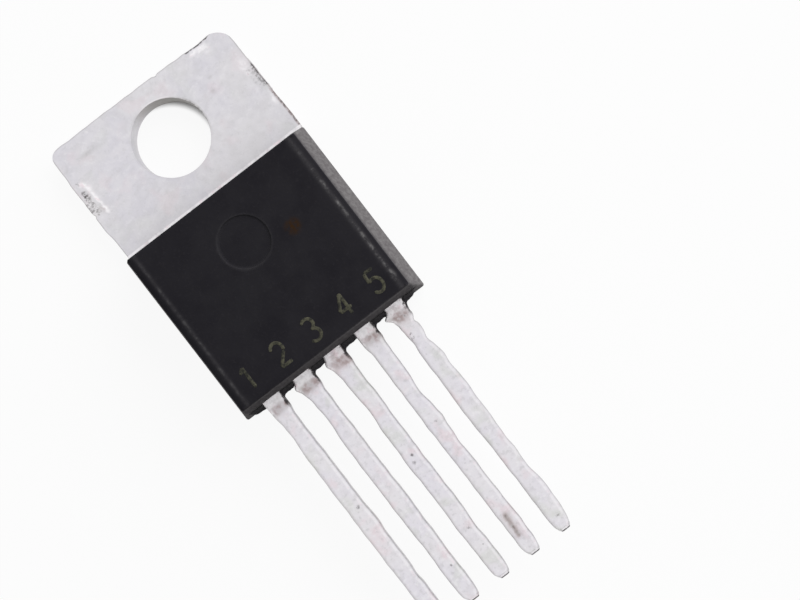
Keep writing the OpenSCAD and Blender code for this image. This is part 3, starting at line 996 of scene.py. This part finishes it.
# Rubbed places, whose pale lines are mostly painted highlights: half-widths of the lines, where they run, and
# how strongly they show
mark_half_widths = {"right line": 0.06, "right wash": 0.12, "left line": 0.06, "left wash": 0.1, "ridge": 0.06,
            "rim": 0.05}
front_fade = (0.5, 0.1)
left_line_in = 0.06
right_wash_in = 0.02
right_line_foot = (-11.4, -10.9)
line_grows = (body_top - 0.3, -5)
right_end_place = (4.19, -11.07)
right_end_reach = (0.1, 0.25)
ridge_out = 0.05
ridge_gain_share = 0.5
ridge_gain_run = (-2, 3)
corner_in = 0.1
corner_fade = (0.25, 0.05)
# Painted highlights: the glints along both bevels, the lit ridge above the leads and the lit corner beside
# the last lead; only the dimple's rim is real wear
corner_glint = 0.7
painted_glints = {"right line": 1, "right end": 1, "left line": 0.3, "ridge": 0.6}
glint_washes_and_rim_wear = {"left wash": 0.22, "right wash": 0.28, "ridge": 1, "rim": 0.12}
# Painted light: the flash is lightened out of its shade, most at its root by the wall
flash_rise = (0.5, 0.2)
flash_end_light = 0.25
flash_root_light = 0.6
flash_root_run = 0.16
# Painted sheen: the walls' grazing reflection, full on the long walls and weaker and lower on the end walls
side_sheen_run = (-0.1, 0.15)
end_sheen_share = 0.55
end_sheen_shares = (-0.4, 0.8)
stain_place = (2.07, -6.84)
stain_fade = (0.5, 0.1)
stain_depth = 0.1


def body_traces(x, y, z):
    """Where the body is marked, mostly with painted light: bell curves about the right bevel's inner line and
    the corner beside the last lead for broken painted glints, and about the bevels, the brow above the leads
    and the dimple's rim for even pale marks, which are painted highlights except the wear on the dimple's
    rim. A painted sheen covers the long walls and thins out down the end walls, the flash is painted lighter
    out of its shade, less towards its edge, and one round stain lies on the front."""
    front = ease(body_face - front_fade[0], body_face - front_fade[1], z)
    grows = ease(*line_grows, y)
    from_corner = np.hypot(x - body_x + corner_in, y - body_bottom - corner_in)
    from_dimple = np.hypot(x, y - dimple_y)
    from_stain = np.hypot(x - stain_place[0], y - stain_place[1])
    ridge_share = 1 - ridge_gain_share + ridge_gain_share * ease(*ridge_gain_run, x)
    marks = {
        "right line": bell(x, bevel_x, mark_half_widths["right line"]) * ease(*right_line_foot, y) * grows,
        "right end": spot(x, y, right_end_place, right_end_reach),
        "right wash": bell(x, bevel_x - right_wash_in, mark_half_widths["right wash"]),
        "left line": bell(x, left_line_in - bevel_x, mark_half_widths["left line"]) * grows,
        "left wash": bell(x, left_line_in - bevel_x, mark_half_widths["left wash"]),
        "ridge": ridge_share * bell(y, ridge_y - ridge_out, mark_half_widths["ridge"]),
        "rim": bell(from_dimple, dimple_r + dimple_roll, mark_half_widths["rim"]),
    }
    # Painted light on the shaded flash
    flash = ease(parting_y + flash_lap, parting_y, y) * ease(*flash_rise, lead_middle - z)
    flash *= flash_end_light + flash_root_light * ease(parting_y - flash_root_run, parting_y, y)
    # Painted sheen on the long walls and, weaker, on the end walls
    side_sheen = ease(*side_sheen_run, np.abs(x) - shoulder_x)
    end_sheen = end_sheen_share * ease(end_sheen_shares[0] * tab_t, end_sheen_shares[1] * body_face, z)
    corner = corner_glint * ease(*corner_fade, from_corner)
    return {
        # The glint trace is painted highlight; the even trace is painted highlight too, with painted light on
        # the flash and real wear only at the dimple's rim
        "scuff": np.maximum(front * strongest(marks, painted_glints), corner),
        "wear": np.maximum(front * strongest(marks, glint_washes_and_rim_wear), flash),
        "dust": np.maximum(side_sheen, end_sheen),
        "stain": ease(*stain_fade, from_stain) * (z > body_face - stain_depth),
    }


epoxy_tones = (0.0205, 0.0195, 0.0235, 1), (0.0255, 0.0245, 0.0285, 1)
epoxy_colours = {
    "grain": (0.04, 0.037, 0.042, 1),
    # Pale colours of the even marks and of the glints, mostly painted highlights
    "wear": (0.115, 0.11, 0.115, 1),
    "scuff": (0.19, 0.185, 0.187, 1),
    "stain": (0.045, 0.022, 0.008, 1),
}
sheen_tones = (0.13, 0.121, 0.125, 1), (0.195, 0.187, 0.189, 1)
mould_drag = (1, 1, 0.2)
epoxy_roughness = (0.5, 0.62)
epoxy_relief = 0.02


def moulded_epoxy():
    """Filled black epoxy: a fine spark-eroded grain, soft tone changes, even pale marks and broken pale
    glints along the rubbed edges, most of them painted highlights, and painted light on the shaded flash. A
    painted sheen, streaked by the mould, lightens the walls where they are seen almost edge-on, in place of
    their reflection."""
    material, tree, shader = finish_of("matt_epoxy")
    where = place_mm(tree)
    tone = cloud(tree, where, per_mm=0.8)
    grain = cloud(tree, where, per_mm=9.0, detail=4.0, rough=0.65)
    base = tint(tree, ramp(tree, tone, 0.3, 0.7), *epoxy_tones)
    base = tint(tree, ramp(tree, grain, 0.52, 0.75, end=0.35), base, epoxy_colours["grain"])
    # The even marks and the glints are mostly painted highlights, and painted light on the flash
    breaks = {
        "wear": ramp(tree, grain, 0.3, 0.6, start=0.6),
        "scuff": ramp(tree, cloud(tree, where, per_mm=2.3, detail=4.0, rough=0.7), 0.46, 0.7),
        "stain": ramp(tree, cloud(tree, where, per_mm=4.0), 0.3, 0.6),
    }
    for trace, broken in breaks.items():
        base = tint(tree, join(tree, "MULTIPLY", stored(tree, trace), broken), base, epoxy_colours[trace])
    # Painted sheen: base colour lightened where a wall is seen almost edge-on, standing in for its reflection
    edge_on = add(tree, "ShaderNodeLayerWeight", {"Blend": 0.5}).outputs["Facing"]
    drag = cloud(tree, place_mm(tree, mould_drag), per_mm=6.0, detail=4.0, rough=0.65)
    dust = tint(tree, ramp(tree, drag, 0.3, 0.7), *sheen_tones)
    sheen_amount = join(tree, "MULTIPLY", stored(tree, "dust"), ramp(tree, edge_on, 0.5, 0.8))
    base = tint(tree, sheen_amount, base, dust)
    tree.links.new(base, shader.inputs["Base Color"])
    tree.links.new(ramp(tree, grain, 0.25, 0.75, *epoxy_roughness), shader.inputs["Roughness"])
    shader.inputs["Specular IOR Level"].default_value = 0.0
    pits = join(tree, "MULTIPLY", cloud(tree, where, per_mm=4.5, detail=2.0), 0.8)
    emboss(tree, shader, join(tree, "ADD", grain, pits), epoxy_relief)
    return material


def flash_rings(start, stop, seed):
    """Rings of the thin flash between two leads: ellipses in the leads' plane, whose reach out of the wall
    falls away from the first lead as an exponential, with a rough field added, and fades at the corners."""
    x = np.linspace(start, stop, flash_rows)
    corner = flash_corner * np.exp((start + flash_lap - x) / flash_corner_w)
    reach = flash_l + corner + flash_rough * torn(x, np.zeros_like(x), flash_wave, seed)
    reach = (parting_y - body_bottom + reach) * ease(0, flash_fade, parting_x - upright_r - np.abs(x))
    turn = np.linspace(0, 2 * np.pi, flash_around, endpoint=False)
    half = (flash_lap + reach)[:, None] / 2
    y = parting_y + flash_lap - half + half * np.cos(turn)
    z = lead_middle + flash_t / 2 * np.sin(turn) + 0 * half
    return np.stack([x[:, None] + 0 * z, y, z], -1)


lead_places = [np.mean(corners_mm(name), axis=0)[0] for name in lead_swells]
gap_starts = [upright_r - parting_x] + [place + root_w / 2 - flash_lap for place in lead_places]
gap_stops = [place - root_w / 2 + flash_lap for place in lead_places] + [parting_x - upright_r]
flash_grids = [flash_rings(*gap) for gap in zip(gap_starts, gap_stops, range(len(gap_starts)))]
body = skin("epoxy_body", body_rings(), *flash_grids)
body_points = np.empty(3 * len(body.data.vertices), np.float32)
body.data.vertices.foreach_get("co", body_points)
for trace, values in body_traces(*body_points.reshape(-1, 3).T / MM).items():
    mark(body, trace, values)
body.data.materials.append(moulded_epoxy())
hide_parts("moulded_body")
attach(body, "root")

# Lead numbers: 1 to 5 in worn khaki ink, printed on the body's front above the leads.
# Each figure is a few strokes of a pad-printed line with round ends, a hair thicker than the face.
figure_h = 1.05
figure_w = 0.6
figure_foot = -11.35
stroke_w = 0.15
stroke_end_share = 0.02
ink_t = 0.012
ink_layer = 0.0005
ink_tones = (0.022, 0.022, 0.02, 1), (0.1, 0.097, 0.067, 1)
ink_relief = 0.01


def straight(*ends, steps=24):
    """Stroke between two points of the figure's box, which is 1 wide and 1 high."""
    return np.linspace(*np.array(ends, float), steps)


def bow(centre, radii, start, stop, steps=48):
    """Stroke along part of an ellipse, from one angle in degrees to another."""
    angle = np.radians(np.linspace(start, stop, steps))[:, None]
    return np.array(centre) + np.array(radii) * np.hstack([np.cos(angle), np.sin(angle)])


def stroke_rings(path, centre_x, height):
    """Flat rings along a stroke: half the stroke's width either side of the path, drawn in to round ends."""
    path = (path - (0.5, 0)) * (figure_w, figure_h) + (centre_x, figure_foot)
    along = np.gradient(path, axis=0)
    run = np.concatenate([[0], np.cumsum(np.linalg.norm(np.diff(path, axis=0), axis=1))])
    to_end = np.clip(np.minimum(run, run[-1] - run) / (stroke_w / 2), 0, 1)
    half = stroke_w / 2 * np.sqrt(np.clip(1 - (1 - to_end) ** 2, stroke_end_share, 1))
    across = np.stack([-along[:, 1], along[:, 0]], 1) / np.linalg.norm(along, axis=1, keepdims=True)
    side = np.array([-1, -0.9, 0.9, 1, 0.9, -0.9])
    rise = np.array([0, 0.5, 0.5, 0, -0.5, -0.5])
    flat = path[:, None] + across[:, None] * (half[:, None] * side)[..., None]
    return np.concatenate([flat, np.broadcast_to(height + ink_t * rise, flat.shape[:2])[..., None]], -1)


figures = [
    [straight((0.2, 0.78), (0.55, 1)), straight((0.55, 1), (0.55, 0))],
    [bow((0.5, 0.7), (0.45, 0.3), 165, -35), straight((0.87, 0.53), (0.05, 0.02)),
     straight((0.05, 0), (0.98, 0))],
    [bow((0.47, 0.75), (0.42, 0.25), 150, -90), bow((0.47, 0.26), (0.48, 0.26), 90, -150)],
    [straight((0.72, 0), (0.72, 1)), straight((0.72, 1), (0.03, 0.32)), straight((0.03, 0.3), (1, 0.3))],
    [straight((0.92, 1), (0.16, 1)), straight((0.16, 1), (0.1, 0.55)),
     bow((0.46, 0.32), (0.48, 0.32), 135, -150)],
]


def khaki_ink():
    """Khaki ink worn thin: its tone breaks up where the black grain shows through."""
    material, tree, shader = finish_of("khaki_ink")
    where = place_mm(tree)
    worn = ramp(tree, cloud(tree, where, per_mm=5.0, detail=4.0, rough=0.7), 0.35, 0.65)
    tree.links.new(tint(tree, worn, *ink_tones), shader.inputs["Base Color"])
    shader.inputs["Roughness"].default_value = 0.6
    shader.inputs["Specular IOR Level"].default_value = 0.12
    emboss(tree, shader, cloud(tree, where, per_mm=14.0), ink_relief)
    return material


strokes = [stroke_rings(path, place, body_face + ink_layer * layer)
           for place, paths in zip(lead_places, figures) for layer, path in enumerate(paths)]
lead_numbers = skin("lead_numbers", *strokes)
lead_numbers.data.materials.append(khaki_ink())
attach(lead_numbers, "root")

# Floor: a wide sheet of pale card that the object lies on, a hair below the tab's back.
# It glows for rays that look at it, so that it is nearly white in a picture and keeps a soft shadow. A ring
# about the screw hole doesn't glow, so that the plate's own shade shows through the hole.
floor_z = -0.02
floor_half = 400
sheet_glow = 0.92
sheet_tone = (0.92, 0.92, 0.92, 1)
white = (1, 1, 1, 1)
shade_centre = (-0.455, -0.242, 0)
shade_starts = (0.18, 0.52)
shade_ends = (0.9, 1.3)
shade_glow = 0.05
floor_corners = np.array([(-1, -1, 0), (1, -1, 0), (1, 1, 0), (-1, 1, 0)]) * floor_half + (0, 0, floor_z)
floor_mesh = bpy.data.meshes.new("floor")
floor_mesh.from_pydata(floor_corners * MM, [], [(0, 1, 2, 3)])
floor = bpy.data.objects.new("floor", floor_mesh)
bpy.context.scene.collection.objects.link(floor)


def seen_share(tree, share):
    """Share for rays that look at a surface, also in a mirror or through glass, and 0 for all others."""
    path = add(tree, "ShaderNodeLightPath").outputs
    looks = join(tree, "MAXIMUM", path["Is Camera Ray"], path["Is Glossy Ray"])
    return join(tree, "MULTIPLY", join(tree, "MAXIMUM", looks, path["Is Transmission Ray"]), share)


floor_material = bpy.data.materials.new("pale_sheet")
floor_material.use_nodes = True
floor_tree = floor_material.node_tree
floor_tree.nodes.clear()
sheet = add(floor_tree, "ShaderNodeBsdfDiffuse", {"Color": sheet_tone}).outputs[0]
glow = add(floor_tree, "ShaderNodeEmission", {"Color": white, "Strength": 1.0}).outputs[0]
gap_sockets = {0: place_mm(floor_tree), 1: shade_centre}
shade_r = add(floor_tree, "ShaderNodeVectorMath", gap_sockets, operation="DISTANCE").outputs["Value"]
open_glow = ramp(floor_tree, shade_r, *(hole_r + out for out in shade_ends), end=sheet_glow)
hole_glow = ramp(floor_tree, shade_r, *(hole_r + out for out in shade_starts), sheet_glow, shade_glow)
sheet_seen = seen_share(floor_tree, join(floor_tree, "MAXIMUM", open_glow, hole_glow))
floor_look = add(floor_tree, "ShaderNodeMixShader", {0: sheet_seen, 1: sheet, 2: glow})
add(floor_tree, "ShaderNodeOutputMaterial", {"Surface": floor_look.outputs[0]})
floor_mesh.materials.append(floor_material)

# Light: an even white surround, and one soft lamp to the object's right.
# The lamp is left out of reflections, so that the tin shows the surround alone.
surround_strength = 0.33
lamp_place = Vector((236, 86, 163)) * MM
lamp_aim = Vector((0, -8, 0)) * MM
lamp_size = 370
lamp_power = 1.15
world = bpy.data.worlds.new("studio")
bpy.context.scene.world = world
world.use_nodes = True
world_tree = world.node_tree
world_tree.nodes.clear()
surround = add(world_tree, "ShaderNodeBackground", {"Color": white, "Strength": surround_strength}).outputs[0]
backdrop = add(world_tree, "ShaderNodeBackground", {"Color": white, "Strength": 1.0}).outputs[0]
world_sockets = {0: seen_share(world_tree, 1.0), 1: surround, 2: backdrop}
world_look = add(world_tree, "ShaderNodeMixShader", world_sockets)
add(world_tree, "ShaderNodeOutputWorld", {"Surface": world_look.outputs[0]})
lamp = bpy.data.lights.new("softbox", "AREA")
lamp.shape = "SQUARE"
lamp.size = lamp_size * MM
lamp.energy = lamp_power
softbox = bpy.data.objects.new("softbox", lamp)
softbox.location = lamp_place
softbox.rotation_euler = (lamp_aim - lamp_place).to_track_quat("-Z", "Y").to_euler()
softbox.visible_glossy = False
bpy.context.scene.collection.objects.link(softbox)

# Camera: nearly straight above the object, turned so that the leads point down to the right.
# Its place, aim, turn and focal length put the object where the photograph has it.
camera_place = Vector((4.088, -11.969, 57.416))
camera_aim = Vector((3.743, -12.140, 0.0))
camera_turn = np.radians(-37.516)
sensor_w = 36
focal_l = 55.75
nearest_seen = 1
backward = (camera_place - camera_aim).normalized()
upward = backward.cross(Vector((np.cos(camera_turn), np.sin(camera_turn), 0))).normalized()
axes = Matrix((upward.cross(backward), upward, backward)).transposed()
lens = bpy.data.cameras.new("camera")
lens.sensor_fit = "HORIZONTAL"
lens.sensor_width = sensor_w
lens.lens = focal_l
lens.clip_start = nearest_seen * MM
camera = bpy.data.objects.new("camera", lens)
camera.matrix_world = Matrix.Translation(camera_place * MM) @ axes.to_4x4()
bpy.context.scene.collection.objects.link(camera)
bpy.context.scene.camera = camera
bpy.context.scene.view_settings.view_transform = "Standard"
